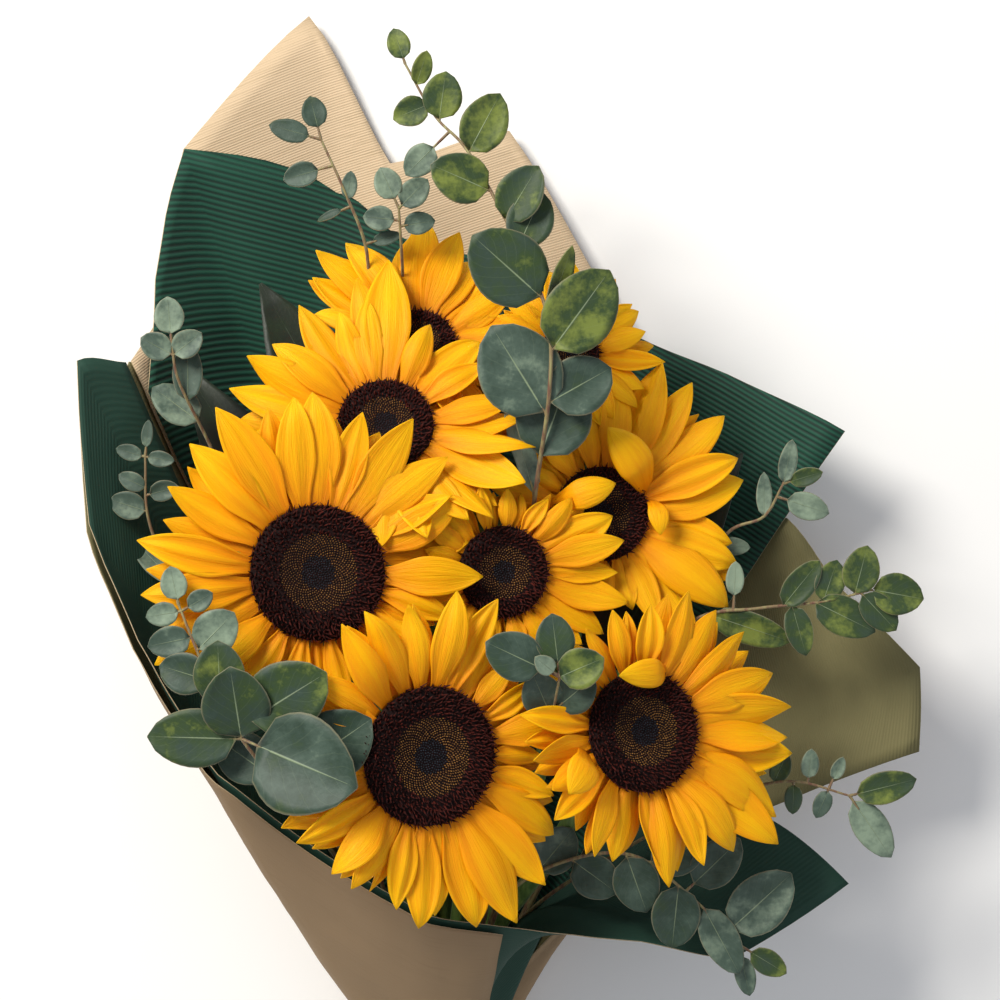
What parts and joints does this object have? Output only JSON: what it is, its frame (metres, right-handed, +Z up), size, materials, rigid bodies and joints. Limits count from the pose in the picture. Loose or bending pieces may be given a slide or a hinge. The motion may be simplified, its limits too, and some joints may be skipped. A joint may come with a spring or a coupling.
{
  "type": "bunch of sunflowers",
  "caption": "Hand-tied bunch of sunflowers with eucalyptus sprigs in ribbed green and kraft paper wraps, lying on its back.",
  "frame": {"origin": "on the flat underside of the outer kraft sheet, below the middle of the flowers, at the surface that the bunch lies on", "axes": "+Z up, out of the surface and toward the flowers' faces; +Y along the bunch from the cut stems to the top of the paper; +X to the right seen from above"},
  "size_m": [0.3598, 0.62, 0.1806],
  "materials": {
    "petal": "satin, golden yellow with orange at the base, lengthwise grooves",
    "disc_florets": "matt dark maroon florets, gold dots, blue-black middle",
    "calyx": "matt green, hairy",
    "sunflower_stem": "satin green, ridged",
    "broad_leaf": "satin dark green, veined",
    "eucalyptus": "satin grey-green with a waxy bloom, pale veins",
    "green_paper": "matt ribbed dark green wrapping paper",
    "kraft_paper": "matt ribbed brown kraft paper",
    "twine": "matt twisted jute twine"
  },
  "bodies": {
    "root": {"stem_1": "sunflower_stem", "disc_1": "disc_florets", "calyx_1": "calyx", "petals_1": "petal", "stem_2": "sunflower_stem", "disc_2": "disc_florets", "calyx_2": "calyx", "petals_2": "petal", "stem_3": "sunflower_stem", "disc_3": "disc_florets", "calyx_3": "calyx", "petals_3": "petal", "stem_4": "sunflower_stem", "disc_4": "disc_florets", "calyx_4": "calyx", "petals_4": "petal", "stem_5": "sunflower_stem", "disc_5": "disc_florets", "calyx_5": "calyx", "petals_5": "petal", "stem_6": "sunflower_stem", "disc_6": "disc_florets", "calyx_6": "calyx", "petals_6": "petal", "stem_7": "sunflower_stem", "disc_7": "disc_florets", "calyx_7": "calyx", "petals_7": "petal", "stem_8": "sunflower_stem", "disc_8": "disc_florets", "calyx_8": "calyx", "petals_8": "petal", "green_front_sheet": "green_paper", "green_back_sheet": "green_paper", "kraft_back_sheet": "kraft_paper", "kraft_front_sheet": "kraft_paper", "stem_tie": "twine", "paper_tie": "twine", "eucalyptus_top": "eucalyptus", "eucalyptus_upper_left": "eucalyptus", "eucalyptus_upper_small": "eucalyptus", "eucalyptus_left_high": "eucalyptus", "eucalyptus_left_low": "eucalyptus", "eucalyptus_left_front": "eucalyptus", "eucalyptus_rosette": "eucalyptus", "eucalyptus_right_middle": "eucalyptus", "eucalyptus_right_low": "eucalyptus", "eucalyptus_bottom_right": "eucalyptus", "eucalyptus_right_high": "eucalyptus", "leaf_left": "broad_leaf", "leaf_upper": "broad_leaf", "leaf_right": "broad_leaf"}
  },
  "joints": []
}
